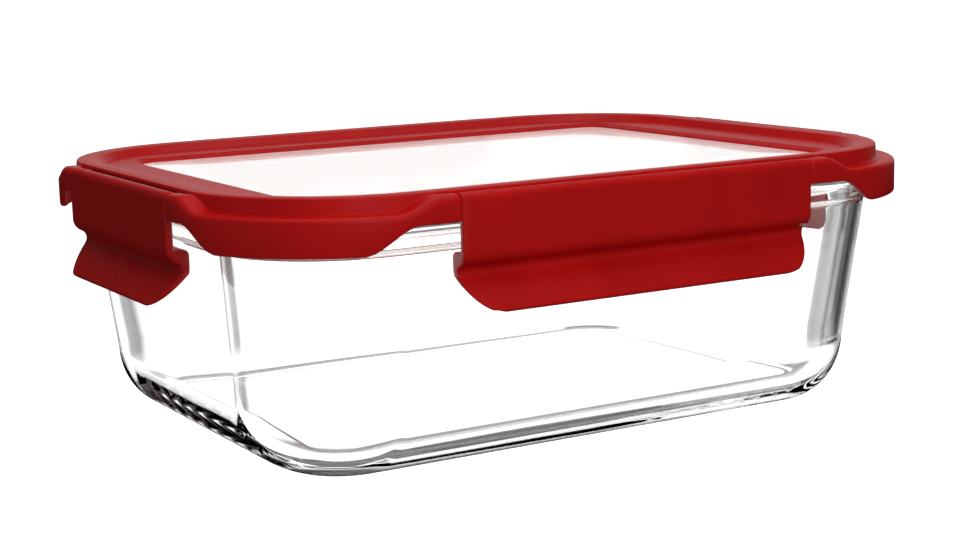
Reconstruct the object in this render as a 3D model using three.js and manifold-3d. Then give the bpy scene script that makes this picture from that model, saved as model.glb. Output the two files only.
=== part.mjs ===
// A glass lunch box with a framed lid, a clear window in the lid and four hinged snap latches.
// Millimetres, +Z up, +X along the long side. The origin is the middle of the base, on the table.
import * as THREE from "three";
import { mergeVertices } from "three/addons/utils/BufferGeometryUtils.js";
import Module from "manifold-3d";

const wasm = await Module();
wasm.setup();

// Driving sizes. Every outline is the lid's ridge outline moved outward by an offset, so a ring of
// any part is written as [offset, height, corner radius].
const ridgeHalfX = 100;
const ridgeHalfY = 78;
const ridgeCorner = 40.4;
const lidTop = 71.3;
const gap = 0.3; // left between pieces that touch

// Lid frame, heights measured down from lidTop
const flangeOffset = 5.15; // outer face of the skirt
const skirtWall = 1.8;
const skirtDepth = 13.3;
const skirtDepthAtLatch = 7;
const ledgeDepth = 4.2;
const shoulderDepth = 0.55;
const flangeUnderside = 6;
const ridgeWall = 1.8;
const windowOffset = -21.2;
const windowCorner = 6;

// Glass body
const rimTop = lidTop - 9;
const beadBottom = lidTop - 13.3;
const beadOffset = -2.1;
const beadCorner = 36;
const wallTopOffset = -4.5;
const wallFootOffset = -8.6;
const wallCorner = 32;
const wall = 3.6;
const footHeight = 18.2; // where the wall turns into the base
const footReach = 17.6; // how far the base is set in from the wall
const baseThickness = 4.8;
const baseCorner = 8.5;

// Latches, in their own section: offset from the ridge, depth below lidTop
const latchHalfX = 51.5; // front and back
const latchHalfY = 34.9; // left and right
const hingeOffset = 3.2;
const hingeDepth = 2.3;
const barrelRadius = 1.9;
const boreRadius = 1.1;
const pinRadius = 0.8;
const pinReach = 4.6; // length of pin inside each shoulder
const latchWall = 1.8;
const plateEnd = 15;
const barOffset = -0.6; // inner face of the bar behind the plate
const barDepth = 14.6;
const hookOffset = -1.8; // tip of the ridge that catches under the glass bead
const hookHeight = 2;
const hookInset = 6; // from the latch's ends to the ridge's ends
const creaseOffset = 0.5;
const creaseDepth = 19;
const lipOffset = 8.5;
const lipDepth = 28.9;
const tabCornerX = 11.5;
const tabCornerZ = 10.5;

// Where the skirt rises towards a latch, as distances from the middle of the side
const riseAlongX = { level: 62, full: 74, shoulder: 57.5, ledge: 66 };
const riseAlongY = { level: 42.5, full: 53.5, shoulder: 40.5, ledge: 49 };

const smooth = (t) => {
  const s = Math.min(Math.max(t, 0), 1);
  return s * s * (3 - 2 * s);
};
const mix = (a, b, t) => a + (b - a) * t;

// Stations are the places on the way round the rounded rectangle. Each holds the side it is on
// (sx, sy, both 1 or -1 at a corner) and its outward direction (nx, ny).
function walkRound(cornerSteps, sideFractions) {
  const stations = [];
  for (let quarter = 0; quarter < 4; quarter++) {
    const start = (quarter * Math.PI) / 2;
    const sx = quarter === 0 || quarter === 3 ? 1 : -1;
    const sy = quarter < 2 ? 1 : -1;
    for (let i = 0; i <= cornerSteps; i++) {
      const angle = start + (i / cornerSteps) * (Math.PI / 2);
      stations.push({ sx, sy, nx: Math.cos(angle), ny: Math.sin(angle) });
    }
    const nx = Math.round(Math.cos(start + Math.PI / 2));
    const ny = Math.round(Math.sin(start + Math.PI / 2));
    for (const fraction of sideFractions) {
      const t = 1 - 2 * fraction;
      stations.push({ sx: nx ? sx : sx * t, sy: ny ? sy : sy * t, nx, ny });
    }
  }
  return stations;
}

function ringPoint(station, [offset, height, corner = ridgeCorner + offset]) {
  const x = station.sx * (ridgeHalfX + offset - corner) + station.nx * corner;
  const y = station.sy * (ridgeHalfY + offset - corner) + station.ny * corner;
  return [x, y, height];
}

// A skin through the rings. Either the last ring joins the first, or both ends are closed flat.
function loft(stations, profileAt, ends) {
  const columns = stations.map((station) => profileAt(station).map((row) => ringPoint(station, row)));
  const around = stations.length;
  const rows = columns[0].length;
  const points = [];
  const triangles = [];
  for (let row = 0; row < rows; row++) columns.forEach((column) => points.push(...column[row]));
  const at = (row, i) => (row % rows) * around + (i % around);
  for (let row = 0; row < (ends === "joined" ? rows : rows - 1); row++) {
    for (let i = 0; i < around; i++) {
      triangles.push(at(row, i), at(row, i + 1), at(row + 1, i + 1));
      triangles.push(at(row, i), at(row + 1, i + 1), at(row + 1, i));
    }
  }
  if (ends === "flat") {
    const first = points.length / 3;
    points.push(0, 0, columns[0][0][2], 0, 0, columns[0][rows - 1][2]);
    for (let i = 0; i < around; i++) {
      triangles.push(first, at(0, i + 1), at(0, i));
      triangles.push(first + 1, at(rows - 1, i), at(rows - 1, i + 1));
    }
  }
  return toSolid(points, triangles);
}

function toSolid(points, triangles) {
  return new wasm.Manifold(new wasm.Mesh({
    numProp: 3,
    vertProperties: Float32Array.from(points),
    triVerts: Uint32Array.from(triangles),
  }));
}

function solidFrom(geometry) {
  geometry.deleteAttribute("normal");
  geometry.deleteAttribute("uv");
  const merged = mergeVertices(geometry, 1e-4);
  return toSolid(merged.attributes.position.array, merged.index.array);
}

function namedMesh(name, solid, material) {
  const mesh = solid.getMesh();
  const geometry = new THREE.BufferGeometry();
  geometry.setAttribute("position", new THREE.BufferAttribute(mesh.vertProperties, 3));
  geometry.setIndex(new THREE.BufferAttribute(mesh.triVerts, 1));
  geometry.computeVertexNormals();
  const node = new THREE.Mesh(geometry, material);
  node.name = name;
  return node;
}

// A rod along X at the hinge's place in a latch's own frame
function hingeRod(radius, halfLength) {
  const rod = new THREE.CylinderGeometry(radius, radius, 2 * halfLength, 16);
  rod.rotateZ(Math.PI / 2);
  rod.translate(0, -hingeOffset, lidTop - hingeDepth);
  return solidFrom(rod);
}

function box(sizeX, sizeY, sizeZ, x, y, z) {
  const geometry = new THREE.BoxGeometry(sizeX, sizeY, sizeZ);
  geometry.translate(x, y, z);
  return solidFrom(geometry);
}

// The four sides, each with the turn that brings a front piece there
const sides = [
  { name: "front", turn: 0, distance: ridgeHalfY, latchHalf: latchHalfX },
  { name: "right", turn: Math.PI / 2, distance: ridgeHalfX, latchHalf: latchHalfY },
  { name: "back", turn: Math.PI, distance: ridgeHalfY, latchHalf: latchHalfX },
  { name: "left", turn: -Math.PI / 2, distance: ridgeHalfX, latchHalf: latchHalfY },
];

// Brings a solid from a latch's own frame, with the ridge's wall at y = 0, to its side of the lid
function placedAt(side, solid) {
  const degrees = THREE.MathUtils.radToDeg(side.turn);
  return solid.translate([0, -side.distance, 0]).rotate([0, 0, degrees]);
}

// Glass body: an outside that rises to a bead under the rim, and an inside a wall away from it
function makeGlassBody() {
  const curve = (steps, from, to, corners, heights) => {
    const rows = [];
    for (let i = 0; i <= steps; i++) {
      const angle = (i / steps) * (Math.PI / 2);
      const reach = Math.sin(angle);
      rows.push([mix(from, to, reach), mix(heights[1], heights[0], Math.cos(angle)),
        mix(corners[0], corners[1], reach)]);
    }
    return rows;
  };
  const baseOffset = wallFootOffset - footReach;
  const outside = curve(7, baseOffset, wallFootOffset, [baseCorner, wallCorner], [0, footHeight]);
  const inside = curve(7, baseOffset, wallFootOffset - wall, [baseCorner, wallCorner - wall],
    [baseThickness, footHeight]).reverse();
  const rim = [
    [wallTopOffset, beadBottom - 0.9, wallCorner],
    [beadOffset - 0.5, beadBottom, beadCorner],
    [beadOffset, beadBottom + 0.7, beadCorner],
    [beadOffset, rimTop - 1.1, beadCorner],
    [beadOffset - 1, rimTop, beadCorner - 1],
    [wallTopOffset - wall + 1, rimTop, wallCorner - wall + 1],
    [wallTopOffset - wall, rimTop - 1.2, wallCorner - wall],
    [wallTopOffset - wall - 0.2, beadBottom - 2, wallCorner - wall],
  ];
  return loft(walkRound(9, []), () => [...outside, ...rim, ...inside], "flat");
}

// How far the skirt has risen (0 to 1) and how far the ledge has swelled into a shoulder (0 to 1)
function nearLatch(station) {
  const [x, y] = ringPoint(station, [flangeOffset, 0]).map(Math.abs);
  const part = (distance, low, high) => smooth((low - distance) / (low - high));
  return {
    rise: Math.max(part(x, riseAlongX.full, riseAlongX.level), part(y, riseAlongY.full, riseAlongY.level)),
    swell: Math.max(part(x, riseAlongX.ledge, riseAlongX.shoulder),
      part(y, riseAlongY.ledge, riseAlongY.shoulder)),
  };
}

// Lid frame: a ring with a raised ridge, a ledge round the window and a skirt down over the rim
function frameProfile(station) {
  const { rise, swell } = nearLatch(station);
  const skirtBottom = lidTop - mix(skirtDepth, skirtDepthAtLatch, rise);
  const ledge = lidTop - mix(ledgeDepth, shoulderDepth, swell);
  const under = lidTop - flangeUnderside;
  const panelSeat = lidTop - 4.2;
  return [
    [windowOffset, panelSeat, windowCorner],
    [-7.4, panelSeat],
    [-5.6, lidTop - 1.9],
    [-ridgeWall, lidTop - 1.9],
    [-ridgeWall, under],
    [flangeOffset - skirtWall, under],
    [flangeOffset - skirtWall, skirtBottom],
    [flangeOffset, skirtBottom],
    [flangeOffset, ledge - 0.9],
    [flangeOffset - 0.9, ledge],
    [0.1, ledge + 0.05],
    [0, lidTop - 0.45],
    [-0.4, lidTop - 0.12],
    [-2.85, lidTop],
    [-5.3, lidTop - 0.12],
    [-6, lidTop - 0.6],
    [-7.6, lidTop - 2.2],
    [-18.8, lidTop - 2.2, windowCorner + 2],
    [windowOffset, lidTop - 3.05, windowCorner],
  ];
}

function makeLidFrame() {
  const stations = walkRound(12, [0.02, 0.05, 0.95, 0.98]);
  let frame = loft(stations, frameProfile, "joined");
  for (const side of sides) {
    const bayHalf = side.latchHalf + gap;
    const bay = box(2 * bayHalf, 20, 40, 0, -10, lidTop);
    frame = frame.subtract(placedAt(side, bay));
    frame = frame.subtract(placedAt(side, hingeRod(boreRadius, bayHalf + pinReach + gap)));
  }
  return frame;
}

// Clear panel: a plate under the frame, a step up into the window and a wall down inside the rim
function makeWindowPanel() {
  const under = lidTop - 6.1;
  const plugBottom = lidTop - 12;
  const flangeTop = lidTop - 4.2 - gap;
  const edge = -ridgeWall - gap;
  const profile = [
    [-10.2, under],
    [-10.2, plugBottom],
    [-8.5, plugBottom],
    [-8.5, under],
    [edge, under],
    [edge, flangeTop],
    [windowOffset - gap, flangeTop, windowCorner - gap],
    [windowOffset - gap, lidTop - 3.3, windowCorner - gap],
  ];
  return loft(walkRound(9, []), () => profile, "flat");
}

// Seal: a soft ring between the panel and the glass rim
function makeLidSeal() {
  const top = lidTop - 6.1 - gap;
  const bottom = rimTop + gap;
  const profile = [[-7.7, bottom], [-2.9, bottom], [-2.4, bottom + 0.5], [-2.4, top], [-8.2, top],
    [-8.2, bottom + 0.5]];
  return loft(walkRound(9, []), () => profile, "joined");
}

// Latch section, looking along the hinge: x is the offset from the ridge, y the height
function latchSection() {
  const down = (depth) => lidTop - depth;
  const face = hingeOffset + barrelRadius;
  const inner = face - latchWall;
  const shape = new THREE.Shape();
  shape.moveTo(hingeOffset - barrelRadius, down(hingeDepth));
  shape.absarc(hingeOffset, down(hingeDepth), barrelRadius, Math.PI, 0, true);
  shape.lineTo(face, down(plateEnd));
  shape.quadraticCurveTo(face, down(plateEnd + 1.4), face - 1.2, down(plateEnd + 1.9));
  shape.lineTo(creaseOffset + 1.2, down(creaseDepth - 0.7));
  shape.quadraticCurveTo(creaseOffset - 0.4, down(creaseDepth), creaseOffset + 0.7,
    down(creaseDepth + 1));
  shape.lineTo(lipOffset - 0.2, down(lipDepth - 0.6));
  shape.lineTo(lipOffset - 0.6, down(lipDepth));
  shape.lineTo(lipOffset - 1.5, down(lipDepth - 0.2));
  shape.lineTo(barOffset + 0.3, down(creaseDepth + 1.4));
  shape.lineTo(barOffset, down(creaseDepth + 0.2));
  shape.lineTo(barOffset, down(barDepth + 1.2));
  shape.lineTo(barOffset + 1.2, down(barDepth));
  shape.lineTo(inner, down(barDepth - 0.3));
  shape.lineTo(inner, down(hingeDepth + barrelRadius));
  shape.absarc(hingeOffset, down(hingeDepth), barrelRadius, -Math.PI / 2, -Math.PI, true);
  return shape;
}

// Latch seen from the front: as wide all the way down, with large round lower corners
function latchOutline(half) {
  const down = (depth) => lidTop - depth;
  const cornerTop = down(lipDepth - tabCornerZ);
  const shape = new THREE.Shape();
  shape.moveTo(half, lidTop + 1);
  shape.lineTo(-half, lidTop + 1);
  shape.lineTo(-half, cornerTop);
  shape.absellipse(tabCornerX - half, cornerTop, tabCornerX, tabCornerZ, Math.PI, 1.5 * Math.PI,
    false, 0);
  shape.absellipse(half - tabCornerX, cornerTop, tabCornerX, tabCornerZ, 1.5 * Math.PI, 2 * Math.PI,
    false, 0);
  return shape;
}

// The section swept along the hinge, kept where it lies inside the front outline, with the ridge
// that catches under the glass bead
function makeLatch(half) {
  const length = 2 * (half + 1);
  const sweep = new THREE.ExtrudeGeometry(latchSection(), { depth: length, bevelEnabled: false,
    curveSegments: 8 });
  sweep.translate(0, 0, -length / 2);
  sweep.applyMatrix4(new THREE.Matrix4().makeBasis(new THREE.Vector3(0, -1, 0),
    new THREE.Vector3(0, 0, 1), new THREE.Vector3(-1, 0, 0)));
  const reach = 40;
  const front = new THREE.ExtrudeGeometry(latchOutline(half), { depth: reach, bevelEnabled: false,
    curveSegments: 8 });
  front.rotateX(Math.PI / 2);
  front.translate(0, reach / 2, 0);
  const hookSunk = 0.4; // how far the ridge runs into the bar
  const hookThickness = barOffset - hookOffset + hookSunk;
  const hook = box(2 * (half - hookInset), hookThickness, hookHeight, 0,
    -hookOffset - hookThickness / 2, lidTop - barDepth - 1.2 - hookHeight / 2);
  const bore = hingeRod(boreRadius, length);
  return solidFrom(sweep).intersect(solidFrom(front)).subtract(bore).add(hook);
}

const satinRed = new THREE.MeshStandardMaterial({ color: "#a3130d", roughness: 0.42, metalness: 0 });
const clearGlass = new THREE.MeshStandardMaterial({ color: "#e9efee", roughness: 0.03, metalness: 0,
  transparent: true, opacity: 0.3 });
const clearPlastic = new THREE.MeshStandardMaterial({ color: "#f4efec", roughness: 0.12, metalness: 0,
  transparent: true, opacity: 0.45 });
const paleSilicone = new THREE.MeshStandardMaterial({ color: "#e4e1da", roughness: 0.6, metalness: 0 });
const steel = new THREE.MeshStandardMaterial({ color: "#b9bcc0", roughness: 0.3, metalness: 1 });

const lunchBox = new THREE.Group();
lunchBox.add(namedMesh("glass_body", makeGlassBody(), clearGlass));
lunchBox.add(namedMesh("lid_frame", makeLidFrame(), satinRed));
lunchBox.add(namedMesh("window_panel", makeWindowPanel(), clearPlastic));
lunchBox.add(namedMesh("lid_seal", makeLidSeal(), paleSilicone));
for (const side of sides) {
  const latch = placedAt(side, makeLatch(side.latchHalf));
  lunchBox.add(namedMesh(`latch_${side.name}`, latch, satinRed));
  const pin = placedAt(side, hingeRod(pinRadius, side.latchHalf + gap + pinReach));
  lunchBox.add(namedMesh(`hinge_pin_${side.name}`, pin, steel));
}

export default lunchBox;
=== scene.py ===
"""A glass lunch box with a red framed lid, a clear window and four snap latches, in a plain studio.

Outlines are written in millimetres, as in the CAD. A row of a profile is (offset, height, corner,
fillet): how far it lies outside the lid's ridge, its height, the radius of the rounded rectangle there
(None to follow the ridge's corner) and the radius that rounds the profile at that row.
"""
import math

import bmesh
import bpy
from mathutils import Matrix, Vector


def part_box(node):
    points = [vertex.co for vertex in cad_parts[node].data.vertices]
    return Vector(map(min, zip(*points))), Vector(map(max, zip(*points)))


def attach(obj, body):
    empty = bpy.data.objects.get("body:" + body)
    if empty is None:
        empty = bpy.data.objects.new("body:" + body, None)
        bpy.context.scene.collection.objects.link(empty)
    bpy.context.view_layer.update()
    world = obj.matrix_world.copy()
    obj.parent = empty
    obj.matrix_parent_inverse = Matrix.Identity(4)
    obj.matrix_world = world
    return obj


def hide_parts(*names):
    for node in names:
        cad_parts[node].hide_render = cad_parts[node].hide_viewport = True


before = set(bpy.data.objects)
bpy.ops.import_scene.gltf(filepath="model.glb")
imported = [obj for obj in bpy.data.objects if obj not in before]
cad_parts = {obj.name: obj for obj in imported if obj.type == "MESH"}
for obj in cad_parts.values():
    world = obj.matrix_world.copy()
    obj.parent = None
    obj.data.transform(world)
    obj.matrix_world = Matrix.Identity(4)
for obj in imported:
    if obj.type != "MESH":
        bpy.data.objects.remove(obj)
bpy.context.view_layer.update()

MM = 0.001

# Sizes that follow the CAD frame
FLANGE = 5.15
LID_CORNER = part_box("lid_frame")[1]
RIDGE_X = LID_CORNER[0] / MM - FLANGE
RIDGE_Y = LID_CORNER[1] / MM - FLANGE
LID_TOP = LID_CORNER[2] / MM
RIDGE_CORNER = 40.4

GAP = 0.3  # between pieces that touch

# Lid frame. A depth is measured down from the top of the lid
SKIRT_WALL = 1.8
SKIRT_DEPTH = 13.3
SKIRT_DEPTH_AT_LATCH = 7.0
SKIRT_STEP = 0.01  # the least height of the skirt's inner wall, left where the skirt has risen
LEDGE_DEPTH = 4.2
SHOULDER_DEPTH = 0.6
SHOULDER_ROUND = 0.5
UNDERSIDE = 6.0
RIDGE_WALL = 1.8
RIDGE_INNER = -5.6
HOLLOW_DEPTH = 1.9  # ceiling of the hollow in the ridge
SEAT_DEPTH = 4.2  # where the panel lies against the frame
WINDOW = -21.2
WINDOW_CORNER = 6.0
GROOVE = 1.4  # width of the slot between a latch and the ridge
GROOVE_DEPTH = 2.6
GROOVE_RUN = 4.0  # how far that slot runs on behind a shoulder
GROOVE_FADE = 2.0  # and the length in which it then ends

# Window panel
PANEL_TOP_DEPTH = 3.3
PANEL_FLANGE_DEPTH = 4.5
PANEL_UNDERSIDE = 6.1
PANEL_MIDDLE = (-40, 6.0)  # offset and corner of the innermost outline
PLUG_OUTER = -8.5
PLUG_INNER = -10.2
PLUG_DEPTH = 12

# Latches
LATCH_X = 51.5
LATCH_Y = 34.9
HINGE_OFFSET = 3.2
HINGE_DEPTH = 2.3
BARREL = 1.9
PIN = 0.8
PIN_REACH = 4.6
PIN_CHAMFER = 0.2
PLATE_WALL = 1.8
PLATE_DEPTH = 16.4
CREASE_OFFSET = 0.5
CREASE_DEPTH = 18.9
BAR_OFFSET = -0.6  # inner face of the bar behind the plate
BAR_DEPTH = 14.6
BAR_BOTTOM_DEPTH = 20.4
HOOK_OFFSET = -1.8
HOOK_INSET = 6.0
HOOK_START, HOOK_STOP = 1.1, 3.3  # below the top of the bar
LATCH_END_ROUND = 0.5
LIP_OFFSET = 8.4
LIP_DEPTH = 28.8
TAB_CORNER_X = 11.5
TAB_CORNER_Z = 10.5

SHARP_ANGLE = 35  # edges that turn by more than this, in degrees, stay crisp

# Where the skirt rises and the ledge swells towards a latch, as distances along each side
RISE_X = {"full": 74.0, "level": 62.0, "ledge": 66.0, "shoulder": 57.5}
RISE_Y = {"full": 53.5, "level": 42.5, "ledge": 49.0, "shoulder": 40.5}


def mix(a, b, t):
    return a + (b - a) * t


def smooth(t):
    t = min(max(t, 0.0), 1.0)
    return t * t * (3 - 2 * t)


# ---------------------------------------------------------------- outlines and meshes

class Station:
    """A place on the way round the box: its side (sx, sy), its outward direction and any cut-back."""

    def __init__(self, sx, sy, nx, ny, limit=None, inset=0.0):
        self.sx, self.sy, self.nx, self.ny = sx, sy, nx, ny
        self.limit = limit  # no part of the profile stands further out than this
        self.inset = inset  # how far the edges of a shoulder's end face are rounded off here

    def point(self, offset, height, corner):
        if self.limit is not None:
            offset = min(offset, self.limit)
        corner = RIDGE_CORNER + offset if corner is None else corner
        x = self.sx * (RIDGE_X + offset - corner) + self.nx * corner
        y = self.sy * (RIDGE_Y + offset - corner) + self.ny * corner
        return Vector((x, y, height))


def walk_round(corner_steps, side_places=None):
    """Stations round the rounded rectangle. side_places gives (place, limit, inset) rows for the
    straights, where place is the distance from the middle of the side."""
    stations = []
    for quarter in range(4):
        start = quarter * math.pi / 2
        sx = 1 if quarter in (0, 3) else -1
        sy = 1 if quarter < 2 else -1
        for i in range(corner_steps + 1):
            angle = start + i / corner_steps * math.pi / 2
            stations.append(Station(sx, sy, math.cos(angle), math.sin(angle)))
        nx = round(math.cos(start + math.pi / 2))
        ny = round(math.sin(start + math.pi / 2))
        half = (RIDGE_X if ny else RIDGE_Y) - RIDGE_CORNER
        along = sx if ny else sy
        for place, limit, inset in side_places(bool(ny)) if side_places else []:
            t = along * place / half
            stations.append(Station(t if ny else sx, t if nx else sy, nx, ny, limit, inset))
    return stations


def filleted(rows, steps=5, closed=True):
    """The profile with each row that has a fillet radius turned into a true arc."""
    full = [(o, z, RIDGE_CORNER + o if c is None else c, f) for o, z, c, f in rows]
    out = []
    for i, (offset, height, corner, radius) in enumerate(full):
        here = Vector((offset, height, corner))
        inner = closed or 0 < i < len(full) - 1
        if not radius or not inner:
            out.append(here)
            continue
        before = Vector(full[i - 1][:3])
        after = Vector(full[(i + 1) % len(full)][:3])
        u, v = before - here, after - here
        u2, v2 = u.xy, v.xy
        half_angle = u2.angle(v2) / 2
        reach = min(radius / math.tan(half_angle), 0.49 * u2.length, 0.49 * v2.length)
        first = here + u * (reach / u2.length)
        last = here + v * (reach / v2.length)
        weight = math.sin(half_angle)
        for k in range(steps + 1):
            s = k / steps
            a, b, c = (1 - s) ** 2, 2 * s * (1 - s) * weight, s * s
            out.append((first * a + here * b + last * c) / (a + b + c))
    return out


def new_object(name, points, faces):
    """A smooth-shaded mesh object, in metres, from points in millimetres."""
    bm = bmesh.new()
    verts = [bm.verts.new(p * MM) for p in points]
    for face in faces:
        corners = [verts[i] for i in dict.fromkeys(face)]
        if len(corners) > 2:
            bm.faces.new(corners)
    bmesh.ops.remove_doubles(bm, verts=bm.verts, dist=1e-6)
    bmesh.ops.dissolve_degenerate(bm, edges=bm.edges, dist=1e-7)
    bmesh.ops.recalc_face_normals(bm, faces=bm.faces)
    mesh = bpy.data.meshes.new(name)
    bm.to_mesh(mesh)
    bm.free()
    mesh.shade_smooth()
    mesh.set_sharp_from_angle(angle=math.radians(SHARP_ANGLE))
    piece = bpy.data.objects.new(name, mesh)
    bpy.context.scene.collection.objects.link(piece)
    return piece


def loft(name, stations, profile_at, ends):
    """A skin through one profile per station. ends is joined (the profile is a loop) or flat."""
    columns = [[s.point(*row) for row in profile_at(s)] for s in stations]
    rows = len(columns[0])
    around = len(columns)
    points = [column[row] for row in range(rows) for column in columns]
    faces = []
    for row in range(rows if ends == "joined" else rows - 1):
        above = (row + 1) % rows
        for i in range(around):
            j = (i + 1) % around
            faces.append((row * around + i, row * around + j, above * around + j, above * around + i))
    if ends == "flat":
        for row, order in ((0, -1), (rows - 1, 1)):
            centre = len(points)
            points.append(Vector((0, 0, columns[0][row].z)))
            for i in range(around):
                pair = (row * around + i, row * around + (i + 1) % around)
                faces.append((centre,) + pair[::order])
    return new_object(name, points, faces)


def tube(name, loops):
    """A skin through closed loops of points, with both ends capped."""
    count = len(loops[0])
    points = [p for loop in loops for p in loop]
    last = len(points) - count
    faces = [tuple(range(count)), tuple(range(last + count - 1, last - 1, -1))]
    for first in range(0, last, count):
        for i in range(count):
            j = (i + 1) % count
            faces.append((first + i, first + j, first + count + j, first + count + i))
    return new_object(name, points, faces)


# ---------------------------------------------------------------- node materials

def new_material(name):
    material = bpy.data.materials.new(name)
    material.use_nodes = True
    tree = material.node_tree
    shader = tree.nodes["Principled BSDF"]
    return material, tree, shader


def add_node(tree, kind, **values):
    node = tree.nodes.new(kind)
    for key, value in values.items():
        if key in node.inputs:
            node.inputs[key].default_value = value
        else:
            setattr(node, key, value)
    return node


def noise(tree, scale, detail=3.0):
    """Noise fixed to the object, with scale in cells per metre."""
    place = add_node(tree, "ShaderNodeTexCoord")
    texture = add_node(tree, "ShaderNodeTexNoise", Scale=scale, Detail=detail)
    tree.links.new(place.outputs["Object"], texture.inputs["Vector"])
    return texture.outputs["Fac"]


def ramp(tree, source, low, high, start=0.35, end=0.65):
    """source stretched between two grey levels or colours."""
    node = tree.nodes.new("ShaderNodeValToRGB")
    node.color_ramp.elements[0].position = start
    node.color_ramp.elements[1].position = end
    for element, value in zip(node.color_ramp.elements, (low, high)):
        element.color = value if isinstance(value, tuple) else (value, value, value, 1)
    tree.links.new(source, node.inputs["Fac"])
    return node.outputs["Color"]


def bump(tree, shader, *layers):
    """Bumps from (height source, depth in metres) layers."""
    normal = None
    for source, depth in layers:
        node = add_node(tree, "ShaderNodeBump", Strength=1.0, Distance=depth)
        tree.links.new(source, node.inputs["Height"])
        if normal:
            tree.links.new(normal, node.inputs["Normal"])
        normal = node.outputs["Normal"]
    tree.links.new(normal, shader.inputs["Normal"])


def red_plastic():
    """Satin moulded polypropylene: fine grain, faint flow mottling, sharp convex edges a little paler
    in colour.
    """
    material, tree, shader = new_material("satin_red_plastic")
    mottled = ramp(tree, noise(tree, 60, 4), (0.50, 0.001, 0.0012, 1), (0.56, 0.002, 0.002, 1))
    # Convex edges, found by pointiness, are mixed towards a paler red in the base colour.
    edges = add_node(tree, "ShaderNodeNewGeometry")
    paler_edges = ramp(tree, edges.outputs["Pointiness"], 0.0, 0.35, 0.53, 0.60)
    colour = add_node(tree, "ShaderNodeMix", data_type="RGBA")
    colour.inputs["B"].default_value = (0.62, 0.02, 0.016, 1)
    tree.links.new(paler_edges, colour.inputs["Factor"])
    tree.links.new(mottled, colour.inputs["A"])
    tree.links.new(colour.outputs["Result"], shader.inputs["Base Color"])
    tree.links.new(ramp(tree, noise(tree, 900), 0.36, 0.46), shader.inputs["Roughness"])
    shader.inputs["IOR"].default_value = 1.49
    bump(tree, shader, (noise(tree, 2600, 2), 0.000012), (noise(tree, 45, 2), 0.00006))
    return material


def clear_glass():
    """Pressed borosilicate glass, a little wavy, with faint handling marks in its gloss."""
    material, tree, shader = new_material("clear_glass")
    shader.inputs["Base Color"].default_value = (0.975, 0.985, 0.982, 1)
    shader.inputs["Transmission Weight"].default_value = 1.0
    shader.inputs["IOR"].default_value = 1.48
    tree.links.new(ramp(tree, noise(tree, 120, 4), 0.0, 0.02, 0.5, 0.8), shader.inputs["Roughness"])
    bump(tree, shader, (noise(tree, 22, 1), 0.00008))
    return material


def clear_plastic():
    """Clear moulded panel, glossy and a little milky, with a faint painted glow that brightens it."""
    material, tree, shader = new_material("clear_plastic")
    shader.inputs["Base Color"].default_value = (1.0, 0.985, 0.975, 1)
    shader.inputs["Transmission Weight"].default_value = 0.8
    # Painted light: a faint white emission makes the panel glow brighter than its lighting alone
    # gives.
    shader.inputs["Emission Color"].default_value = (1.0, 0.98, 0.965, 1)
    shader.inputs["Emission Strength"].default_value = 0.14
    shader.inputs["IOR"].default_value = 1.49
    tree.links.new(ramp(tree, noise(tree, 90, 4), 0.06, 0.12), shader.inputs["Roughness"])
    bump(tree, shader, (noise(tree, 30, 1), 0.00005))
    return material


def silicone():
    material, tree, shader = new_material("pale_silicone")
    tree.links.new(ramp(tree, noise(tree, 300), (0.70, 0.68, 0.65, 1), (0.78, 0.76, 0.73, 1)),
                   shader.inputs["Base Color"])
    shader.inputs["Roughness"].default_value = 0.55
    shader.inputs["Subsurface Weight"].default_value = 0.3
    shader.inputs["Subsurface Radius"].default_value = (0.004, 0.004, 0.0035)
    bump(tree, shader, (noise(tree, 1500, 2), 0.00001))
    return material


def steel():
    material, tree, shader = new_material("drawn_steel")
    shader.inputs["Base Color"].default_value = (0.56, 0.57, 0.58, 1)
    shader.inputs["Metallic"].default_value = 1.0
    tree.links.new(ramp(tree, noise(tree, 1800), 0.22, 0.38), shader.inputs["Roughness"])
    return material


RED = red_plastic()
GLASS = clear_glass()
PANEL = clear_plastic()
SILICONE = silicone()
STEEL = steel()


def finish_piece(piece, material, body, node):
    piece.data.materials.append(material)
    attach(piece, body)
    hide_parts(node)


# ---------------------------------------------------------------- glass body

RIM_TOP = LID_TOP - 9.0
BEAD_BOTTOM = LID_TOP - 13.3
BEAD = -2.1
BEAD_CORNER = 36.0
WALL_TOP = -4.5
WALL_FOOT = -8.6
WALL_CORNER = 32.0
WALL = 3.6
FOOT_HEIGHT = 18.2
FOOT_REACH = 17.6
BASE_THICKNESS = 4.8
BASE_CORNER = 8.5


def turn_into_base(steps, reach_to, corner, low):
    """Rows of the quarter ellipse between the base and the wall."""
    base = WALL_FOOT - FOOT_REACH
    rows = []
    for i in range(steps + 1):
        angle = i / steps * math.pi / 2
        out = math.sin(angle)
        rows.append((mix(base, reach_to, out), mix(FOOT_HEIGHT, low, math.cos(angle)),
                     mix(BASE_CORNER, corner, out)))
    return rows


def make_glass_body():
    outside = turn_into_base(24, WALL_FOOT, WALL_CORNER, 0.0)
    inside = turn_into_base(24, WALL_FOOT - WALL, WALL_CORNER - WALL, BASE_THICKNESS)[::-1]
    rim = filleted([
        outside[-1] + (0,),
        (WALL_TOP, BEAD_BOTTOM - 0.9, WALL_CORNER, 1.2),
        (BEAD, BEAD_BOTTOM, BEAD_CORNER, 1.0),
        (BEAD, RIM_TOP, BEAD_CORNER, 1.2),
        (WALL_TOP - WALL, RIM_TOP, WALL_CORNER - WALL, 1.2),
        (WALL_TOP - WALL, BEAD_BOTTOM - 2, WALL_CORNER - WALL, 2.0),
        inside[0] + (0,),
    ], steps=6, closed=False)
    rows = outside[:-1] + [tuple(row) for row in rim] + inside[1:]
    stations = walk_round(32, lambda along_x: [(p, None, 0) for p in (30, 10, -10, -30)])
    body = loft("glass_body_clear", stations, lambda station: rows, "flat")
    finish_piece(body, GLASS, "container", "glass_body")


# ---------------------------------------------------------------- lid

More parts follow.
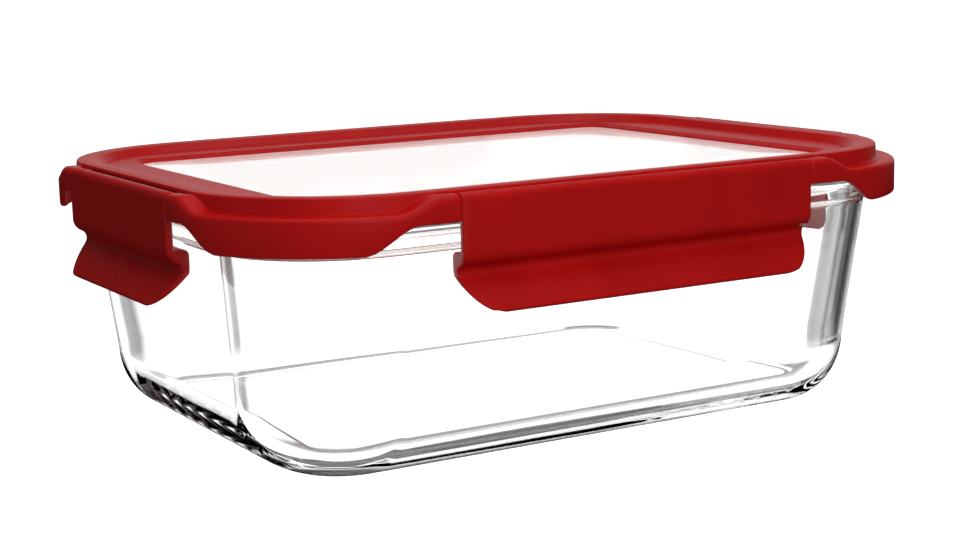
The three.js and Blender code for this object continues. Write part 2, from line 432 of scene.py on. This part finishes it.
def near_latch(station):
    """How far the skirt has risen, how far the ledge has swelled and how deep the slot is here."""
    place = station.point(0, 0, None)
    x, y = abs(place.x), abs(place.y)

    def share(key_far, key_near):
        return max(smooth((RISE_X[key_far] - x) / (RISE_X[key_far] - RISE_X[key_near])),
                   smooth((RISE_Y[key_far] - y) / (RISE_Y[key_far] - RISE_Y[key_near])))

    slot = max(smooth((LATCH_X + GROOVE_RUN - x) / GROOVE_FADE),
               smooth((LATCH_Y + GROOVE_RUN - y) / GROOVE_FADE))
    return share("full", "level"), share("ledge", "shoulder"), slot


def frame_profile(station):
    rise, swell, slot = near_latch(station)
    inset = station.inset
    bottom = LID_TOP - mix(SKIRT_DEPTH, SKIRT_DEPTH_AT_LATCH, rise) + inset
    ledge = LID_TOP - mix(LEDGE_DEPTH, SHOULDER_DEPTH, swell) - inset
    floor = mix(ledge, LID_TOP - GROOVE_DEPTH, slot * swell)
    under = LID_TOP - mix(UNDERSIDE, SKIRT_DEPTH_AT_LATCH, rise) + inset
    return filleted([
        (WINDOW, LID_TOP - SEAT_DEPTH, WINDOW_CORNER, 0.3),
        (-7.4, LID_TOP - SEAT_DEPTH, None, 0),
        (RIDGE_INNER, LID_TOP - HOLLOW_DEPTH, None, 0),
        (-RIDGE_WALL, LID_TOP - HOLLOW_DEPTH, None, 0),
        (-RIDGE_WALL, under, None, 0),
        (FLANGE - SKIRT_WALL, under, None, 0),
        (FLANGE - SKIRT_WALL, bottom - SKIRT_STEP, None, 0.3),
        (FLANGE, bottom - SKIRT_STEP, None, 0.6),
        (FLANGE, ledge, None, mix(1.1, 2.4, swell)),
        (GROOVE + 0.1, ledge, None, 0.25),
        (GROOVE, floor, None, 0.25),
        (0.15, floor, None, 0.5),
        (0, LID_TOP - 0.1, None, 0.6),
        (-2.85, LID_TOP, None, 4.0),
        (RIDGE_INNER, LID_TOP - 0.25, None, 0.9),
        (-7.5, LID_TOP - 2.25, None, 1.0),
        (-18.8, LID_TOP - 2.2, WINDOW_CORNER + 2, 1.2),
        (WINDOW, LID_TOP - 3.05, WINDOW_CORNER, 0.5),
    ], steps=4)


def lid_side_places(along_x):
    """Stations on a straight side: a shoulder with a rounded end face, then the bay for the latch."""
    bay = (LATCH_X if along_x else LATCH_Y) + GAP
    half = (RIDGE_X if along_x else RIDGE_Y) - RIDGE_CORNER
    places = [(mix(half, bay + SHOULDER_ROUND, t), None, 0.0) for t in (0.25, 0.5, 0.75, 1.0)]
    for degrees in (22.5, 45, 67.5, 90):
        angle = math.radians(degrees)
        back = SHOULDER_ROUND * (1 - math.cos(angle))
        places.append((bay + SHOULDER_ROUND * (1 - math.sin(angle)), FLANGE - back, back))
    places += [(bay * t, 0.0, SHOULDER_ROUND) for t in (1.0, 0.6, 0.2)]
    return places + [(-place, limit, inset) for place, limit, inset in reversed(places)]


def make_lid_frame():
    stations = walk_round(36, lid_side_places)
    ring = loft("lid_frame_red", stations, frame_profile, "joined")
    finish_piece(ring, RED, "lid", "lid_frame")


def make_window_panel():
    """The flat panel in the window, its flange under the frame and the plug wall inside the rim."""
    under = LID_TOP - PANEL_UNDERSIDE
    top = LID_TOP - PANEL_TOP_DEPTH
    flange_top = LID_TOP - PANEL_FLANGE_DEPTH
    plug_end = LID_TOP - PLUG_DEPTH
    edge = -RIDGE_WALL - GAP
    middle, middle_corner = PANEL_MIDDLE
    rows = filleted([
        (middle, under, middle_corner, 0),
        (PLUG_INNER, under, None, 0.8),
        (PLUG_INNER, plug_end, None, 0.6),
        (PLUG_OUTER, plug_end, None, 0.6),
        (PLUG_OUTER, under, None, 0.4),
        (edge, under, None, 0.4),
        (edge, flange_top, None, 0.4),
        (WINDOW - GAP, flange_top, WINDOW_CORNER - GAP, 0.3),
        (WINDOW - GAP, top, WINDOW_CORNER - GAP, 0.4),
        (middle, top, middle_corner, 0),
    ], closed=False)
    panel = loft("window_panel_clear", walk_round(24), lambda station: rows, "flat")
    finish_piece(panel, PANEL, "lid", "window_panel")


def make_lid_seal():
    top = LID_TOP - PANEL_UNDERSIDE - GAP
    bottom = RIM_TOP + GAP
    rows = filleted([
        (-7.7, bottom, None, 0.6),
        (-2.6, bottom, None, 0.9),
        (-2.4, top, None, 0.5),
        (-8.2, top, None, 0.5),
    ])
    seal = loft("lid_seal_soft", walk_round(24), lambda station: rows, "joined")
    finish_piece(seal, SILICONE, "lid", "lid_seal")


# ---------------------------------------------------------------- latches

SIDES = (
    ("front", 0, RIDGE_Y, LATCH_X),
    ("right", 90, RIDGE_X, LATCH_Y),
    ("back", 180, RIDGE_Y, LATCH_X),
    ("left", -90, RIDGE_X, LATCH_Y),
)


def side_matrix(turn, distance):
    """From a latch's own frame, with the ridge's wall at y = 0, to its side of the lid."""
    return Matrix.Rotation(math.radians(turn), 4, "Z") @ Matrix.Translation((0, -distance, 0))


def arc(centre, radius, start, end, steps):
    """Points of an arc in the section's plane, angles in degrees."""
    for i in range(steps + 1):
        angle = math.radians(mix(start, end, i / steps))
        yield Vector((centre[0] + radius * math.cos(angle), centre[1] + radius * math.sin(angle), 0))


def latch_section():
    """The latch's section: offset and depth, down its face, round the lip and back up its inside."""
    hinge = (HINGE_OFFSET, -HINGE_DEPTH)
    face = HINGE_OFFSET + BARREL
    inner = face - PLATE_WALL
    below = filleted([
        (face, -HINGE_DEPTH, 0, 0),
        (face, -PLATE_DEPTH, 0, 3.5),
        (CREASE_OFFSET, -CREASE_DEPTH, 0, 2.0),
        (LIP_OFFSET, -LIP_DEPTH + 0.6, 0, 0.6),
        (LIP_OFFSET - 1.2, -LIP_DEPTH - 0.1, 0, 0.5),
        (BAR_OFFSET, -BAR_BOTTOM_DEPTH, 0, 1.2),
        (BAR_OFFSET, -BAR_DEPTH, 0, 1.4),
        (inner, -BAR_DEPTH + 0.3, 0, 0.4),
        (inner, -HINGE_DEPTH - BARREL, 0, 0),
    ], steps=6, closed=False)
    over = list(arc(hinge, BARREL, 180, 0, 14))[:-1]
    under = list(arc(hinge, BARREL, -90, -180, 8))[:-1]
    return divided(over + below + under, 0.5)


def divided(points, step):
    """The closed outline with its long stretches cut into pieces no longer than step."""
    out = []
    for here, after in zip(points, points[1:] + points[:1]):
        pieces = max(1, math.ceil((after - here).length / step))
        out += [here.lerp(after, i / pieces) for i in range(pieces)]
    return out


def latch_half_width(depth, half):
    """Half the width at a depth: even down the plate, then in round the large lower corners."""
    t = max(depth - (LIP_DEPTH + 0.1 - TAB_CORNER_Z), 0) / TAB_CORNER_Z
    return half - TAB_CORNER_X * (1 - math.sqrt(max(1 - t * t, 0)))


def with_hook(p):
    """A point of the section, moved in where the hook stands. It faces the glass below the bead, and
    stops a gap short of the bead's outer face, so it doesn't reach under it."""
    on_hook = p.x < BAR_OFFSET + 0.1 and -BAR_DEPTH - HOOK_STOP < p.y < -BAR_DEPTH - HOOK_START
    return Vector((HOOK_OFFSET, p.y, 0)) if on_hook else p


def drawn_in(section, inset):
    """The section with its outline moved inwards."""
    out = []
    for before, here, after in zip(section[-1:] + section[:-1], section, section[1:] + section[:1]):
        along = (after - before).normalized()
        out.append(here + Vector((along.y, -along.x, 0)) * inset)
    return out


def make_latch(name, turn, distance, half):
    """A skin through the section, from rounded end to rounded end, with the hook along the middle."""
    section = latch_section()
    hook_end = (half - HOOK_INSET) / half
    columns = []
    for degrees in (90, 60, 30, 0):
        angle = math.radians(degrees)
        columns.append((1 - LATCH_END_ROUND * (1 - math.sin(angle)) / half,
                        drawn_in(section, LATCH_END_ROUND * (1 - math.cos(angle)))))
    columns += [(share, section) for share in (0.96, hook_end + 0.002)]
    hooked = [with_hook(p) for p in section]
    columns += [(share, hooked) for share in (hook_end, 0.5, 0.0)]
    columns = [(-share, outline) for share, outline in columns] + columns[-2::-1]
    matrix = side_matrix(turn, distance)
    loops = []
    for share, outline in columns:
        widths = [share * latch_half_width(-p.y, half) for p in section]
        loops.append([matrix @ Vector((x, -p.x, LID_TOP + p.y)) for x, p in zip(widths, outline)])
    piece = tube(f"latch_{name}_red", loops)
    finish_piece(piece, RED, f"{name}_latch", f"latch_{name}")


def make_hinge_pin(name, turn, distance, half):
    reach = half + GAP + PIN_REACH
    matrix = side_matrix(turn, distance)
    loops = []
    for x, radius in ((-reach, PIN - PIN_CHAMFER), (-reach + PIN_CHAMFER, PIN),
                      (reach - PIN_CHAMFER, PIN), (reach, PIN - PIN_CHAMFER)):
        circle = list(arc((HINGE_OFFSET, -HINGE_DEPTH), radius, 0, 360, 24))[:-1]
        loops.append([matrix @ Vector((x, -p.x, LID_TOP + p.y)) for p in circle])
    piece = tube(f"hinge_pin_{name}_steel", loops)
    finish_piece(piece, STEEL, "lid", f"hinge_pin_{name}")


# ---------------------------------------------------------------- studio

CAMERA_PLACE = Vector((-262.6, -452.8, 125.5)) * MM
CAMERA_AZIMUTH = -30.14
CAMERA_ELEVATION = 9.85
CAMERA_ROLL = -1.42
CAMERA_LENS = 70.76
BOUNCES = 24


def make_camera():
    azimuth = math.radians(CAMERA_AZIMUTH)
    elevation = math.radians(CAMERA_ELEVATION)
    back = Vector((math.sin(azimuth) * math.cos(elevation), -math.cos(azimuth) * math.cos(elevation),
                   math.sin(elevation)))
    right = (-back).cross(Vector((0, 0, 1))).normalized()
    up = back.cross(right)
    turn = Matrix((right, up, back)).transposed() @ Matrix.Rotation(math.radians(CAMERA_ROLL), 3, "Z")
    data = bpy.data.cameras.new("camera")
    data.lens = CAMERA_LENS
    data.sensor_width = 36
    data.clip_start = 0.01
    camera = bpy.data.objects.new("camera", data)
    camera.matrix_world = Matrix.Translation(CAMERA_PLACE) @ turn.to_4x4()
    bpy.context.scene.collection.objects.link(camera)
    bpy.context.scene.camera = camera


FLOOR_REACH = 6000
FLOOR_LEVEL = -0.2
CONTACT_LEVEL = -0.15
CONTACT_WIDTH = 1.4


def make_floor():
    """A white floor, seen only direct: through the glass and in reflections the surround shows."""
    corners = [Vector((x * FLOOR_REACH, y * FLOOR_REACH, FLOOR_LEVEL))
               for x, y in ((-1, -1), (1, -1), (1, 1), (-1, 1))]
    floor = new_object("floor", corners, [(0, 1, 2, 3)])
    material, tree, shader = new_material("pale_floor")
    shader.inputs["Base Color"].default_value = (0.8, 0.8, 0.8, 1)
    shader.inputs["Roughness"].default_value = 0.9
    shader.inputs["Emission Color"].default_value = (1, 1, 1, 1)
    shader.inputs["Emission Strength"].default_value = 0.95
    floor.data.materials.append(material)
    floor.visible_transmission = False
    floor.visible_glossy = False
    floor.visible_diffuse = False


def make_painted_contact_shadow():
    """A dark strip laid on the floor under the round edge of the base: painted shade, standing in for
    a contact shadow.
    """
    base = WALL_FOOT - FOOT_REACH
    rows = [(base + side * CONTACT_WIDTH, CONTACT_LEVEL, BASE_CORNER + side * CONTACT_WIDTH)
            for side in (-0.5, 0.5)]
    stations = walk_round(12)
    points = [s.point(*row) for row in rows for s in stations]
    count = len(stations)
    faces = [(i, (i + 1) % count, count + (i + 1) % count, count + i) for i in range(count)]
    ring = new_object("painted_contact_shadow", points, faces)
    # Painted shade: a dark, faintly glowing material stands in for the shadow where the glass base
    # meets the floor.
    material, tree, shader = new_material("painted_floor_shade")
    shader.inputs["Base Color"].default_value = (0.08, 0.07, 0.075, 1)
    shader.inputs["Roughness"].default_value = 0.9
    shader.inputs["Emission Color"].default_value = (1, 0.95, 0.97, 1)
    shader.inputs["Emission Strength"].default_value = 0.12
    ring.data.materials.append(material)


def ramp_stops(tree, source, stops):
    """source mapped through (position, grey level) stops."""
    node = tree.nodes.new("ShaderNodeValToRGB")
    elements = node.color_ramp.elements
    elements.remove(elements[1])
    for i, (position, level) in enumerate(sorted(stops)):
        element = elements.new(position) if i else elements[0]
        element.position = position
        element.color = (level, level, level, 1)
    tree.links.new(source, node.inputs["Fac"])
    return node.outputs["Color"]


def product(tree, a, b):
    """a times b, which may be a plain colour."""
    node = add_node(tree, "ShaderNodeMix", data_type="RGBA", blend_type="MULTIPLY")
    node.inputs["Factor"].default_value = 1.0
    tree.links.new(a, node.inputs["A"])
    if isinstance(b, tuple):
        node.inputs["B"].default_value = b
    else:
        tree.links.new(b, node.inputs["B"])
    return node.outputs["Result"]


def pick(tree, factor, a, b):
    """a where factor is 0, b where it is 1. Either may be a plain colour."""
    node = add_node(tree, "ShaderNodeMix", data_type="RGBA")
    tree.links.new(factor, node.inputs["Factor"])
    for value, key in ((a, "A"), (b, "B")):
        if isinstance(value, tuple):
            node.inputs[key].default_value = value
        else:
            tree.links.new(value, node.inputs[key])
    return node.outputs["Result"]


# The surround as stops of (degrees, level). A heading runs clockwise from +Y
THROUGH_GLASS = ((9, 1.0), (10.5, 0.2), (15.5, 0.2), (17, 1.0), (46, 1.0), (48, 0.2),
                 (54, 0.2), (57, 0.02), (70, 0.02), (78, 0.1), (100, 0.1), (104, 1.0))  # by heading
THROUGH_UPWARDS = ((3, 1.0), (12, 0.3))  # by elevation
THROUGH_BASE = ((-54, 1.0), (-50, 0.14), (-27, 0.14), (-25, 1.0))  # by elevation, in these headings:
BASE_HEADINGS = ((8, 0.0), (12, 1.0), (52, 1.0), (56, 0.0))
STEEPNESS = ((-20, 1.0), (-14, 0.0))  # by elevation: 1 where light goes down through the base
THROUGH_LEVEL = 1.6  # makes up for what the glass takes away
REFLECTED = ((-5, 0.02), (15, 0.75), (60, 0.75), (80, 0.02))  # by heading
REFLECTED_UPWARDS = ((-4, 0.0), (1, 1.0), (12, 0.9), (28, 0.1))  # by elevation
DIFFUSE_SURROUND = (0.2, 0.19, 0.19, 1)
WHITE = (1, 1, 1, 1)


def heading_position(degrees):
    return degrees / 360 + 0.5


def level_position(degrees):
    """Where a ramp over the direction's Z has this elevation."""
    return math.sin(math.radians(degrees)) / 2 + 0.5


def make_world():
    """The surround: white as seen direct, white with dark strips through the glass, and mostly dim in
    reflections, with its white side behind the box."""
    world = bpy.data.worlds.new("studio")
    world.use_nodes = True
    tree = world.node_tree
    sky = tree.nodes["Background"]
    place = add_node(tree, "ShaderNodeTexCoord")
    split = add_node(tree, "ShaderNodeSeparateXYZ")
    tree.links.new(place.outputs["Generated"], split.inputs["Vector"])
    heading = add_node(tree, "ShaderNodeMath", operation="ARCTAN2")
    tree.links.new(split.outputs["X"], heading.inputs[0])
    tree.links.new(split.outputs["Y"], heading.inputs[1])
    turn = add_node(tree, "ShaderNodeMapRange")
    turn.inputs["From Min"].default_value = -math.pi
    turn.inputs["From Max"].default_value = math.pi
    tree.links.new(heading.outputs[0], turn.inputs["Value"])
    height = add_node(tree, "ShaderNodeMapRange")
    height.inputs["From Min"].default_value = -1.0
    tree.links.new(split.outputs["Z"], height.inputs["Value"])

    def by_heading(stops):
        return ramp_stops(tree, turn.outputs["Result"], [(heading_position(h), v) for h, v in stops])

    def by_elevation(stops):
        return ramp_stops(tree, height.outputs["Result"], [(level_position(e), v) for e, v in stops])

    downwards = pick(tree, by_heading(BASE_HEADINGS), WHITE, by_elevation(THROUGH_BASE))
    through = pick(tree, by_elevation(STEEPNESS), by_heading(THROUGH_GLASS), downwards)
    through = product(tree, through, by_elevation(THROUGH_UPWARDS))
    through = product(tree, through, (THROUGH_LEVEL, THROUGH_LEVEL, THROUGH_LEVEL, 1))
    mirrored = product(tree, by_heading(REFLECTED), by_elevation(REFLECTED_UPWARDS))

    path = add_node(tree, "ShaderNodeLightPath")
    seen = pick(tree, path.outputs["Is Glossy Ray"], WHITE, mirrored)
    seen = pick(tree, path.outputs["Is Transmission Ray"], seen, through)
    seen = pick(tree, path.outputs["Is Diffuse Ray"], seen, DIFFUSE_SURROUND)
    tree.links.new(seen, sky.inputs["Color"])
    bpy.context.scene.world = world


def area_light(name, place, target, size, power):
    data = bpy.data.lights.new(name, "AREA")
    data.shape = "RECTANGLE"
    data.size, data.size_y = size
    data.energy = power
    light = bpy.data.objects.new(name, data)
    light.location = place
    light.rotation_euler = (Vector(target) - Vector(place)).to_track_quat("-Z", "Y").to_euler()
    light.visible_glossy = False
    bpy.context.scene.collection.objects.link(light)


def make_lights():
    """Soft light from above and from the front. Only the surround shows in reflections."""
    area_light("top_softbox", (0.1, 0.1, 1.0), (0, 0, 0.05), (0.8, 0.8), 4.5)
    area_light("front_softbox", (-0.12, -0.45, 0.25), (0.02, 0, 0.05), (0.25, 0.25), 0.85)


def make_look():
    """Plain colours, and enough bounces for light to run along inside the glass base."""
    scene = bpy.context.scene
    scene.view_settings.view_transform = "Standard"
    scene.cycles.max_bounces = BOUNCES
    scene.cycles.glossy_bounces = BOUNCES
    scene.cycles.transmission_bounces = BOUNCES
    scene.cycles.transparent_max_bounces = BOUNCES


make_camera()
make_glass_body()
make_lid_frame()
make_window_panel()
make_lid_seal()
for side in SIDES:
    make_latch(*side)
    make_hinge_pin(*side)
make_floor()
make_painted_contact_shadow()
make_world()
make_lights()
make_look()
